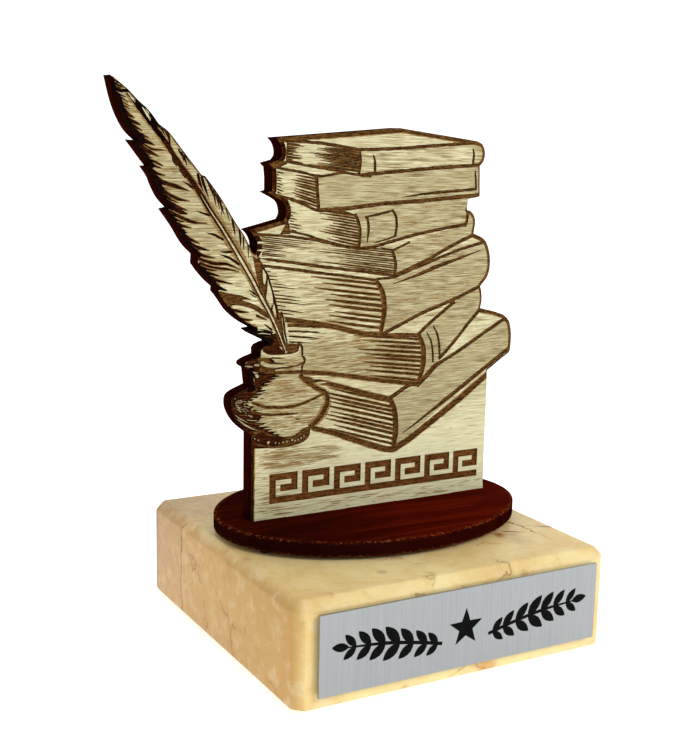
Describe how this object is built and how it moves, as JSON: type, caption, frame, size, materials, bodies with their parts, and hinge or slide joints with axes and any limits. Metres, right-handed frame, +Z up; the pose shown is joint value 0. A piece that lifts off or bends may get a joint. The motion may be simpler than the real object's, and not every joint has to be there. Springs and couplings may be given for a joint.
{
  "type": "desk award",
  "caption": "Desk award: a flat wooden quill, inkwell and book stack standing in an oval wooden foot on a bevelled stone block with a metal nameplate.",
  "frame": {"origin": "middle of the felt's underside, on the surface that the award stands on", "axes": "+Z up; -Y towards the nameplate and the engraved face; +X to the right seen from the front"},
  "size_m": [0.09, 0.0714, 0.1108],
  "materials": {
    "felt": "matte pressed felt",
    "stone": "polished beige limestone with thin brown veins",
    "brushed_metal": "upright brushed silver with a matte black printed ornament",
    "plate_adhesive": "thin double-sided adhesive sheet",
    "foot_wood": "satin dark mahogany stain",
    "foot_adhesive": "thin black double-sided adhesive strip",
    "face_veneer": "pale limed wood with burnt brown laser engraving",
    "charred_core": "laser-charred cut edge, near-black burgundy",
    "back_veneer": "plain pale wood veneer"
  },
  "bodies": {
    "root": {"base_felt": "felt", "marble_base": "stone", "nameplate": "brushed_metal", "nameplate_tape": "plate_adhesive", "oval_foot": "foot_wood", "foot_tape_left": "foot_adhesive", "foot_tape_right": "foot_adhesive", "figure_face": "face_veneer", "figure_core": "charred_core", "figure_back": "back_veneer"}
  },
  "joints": []
}
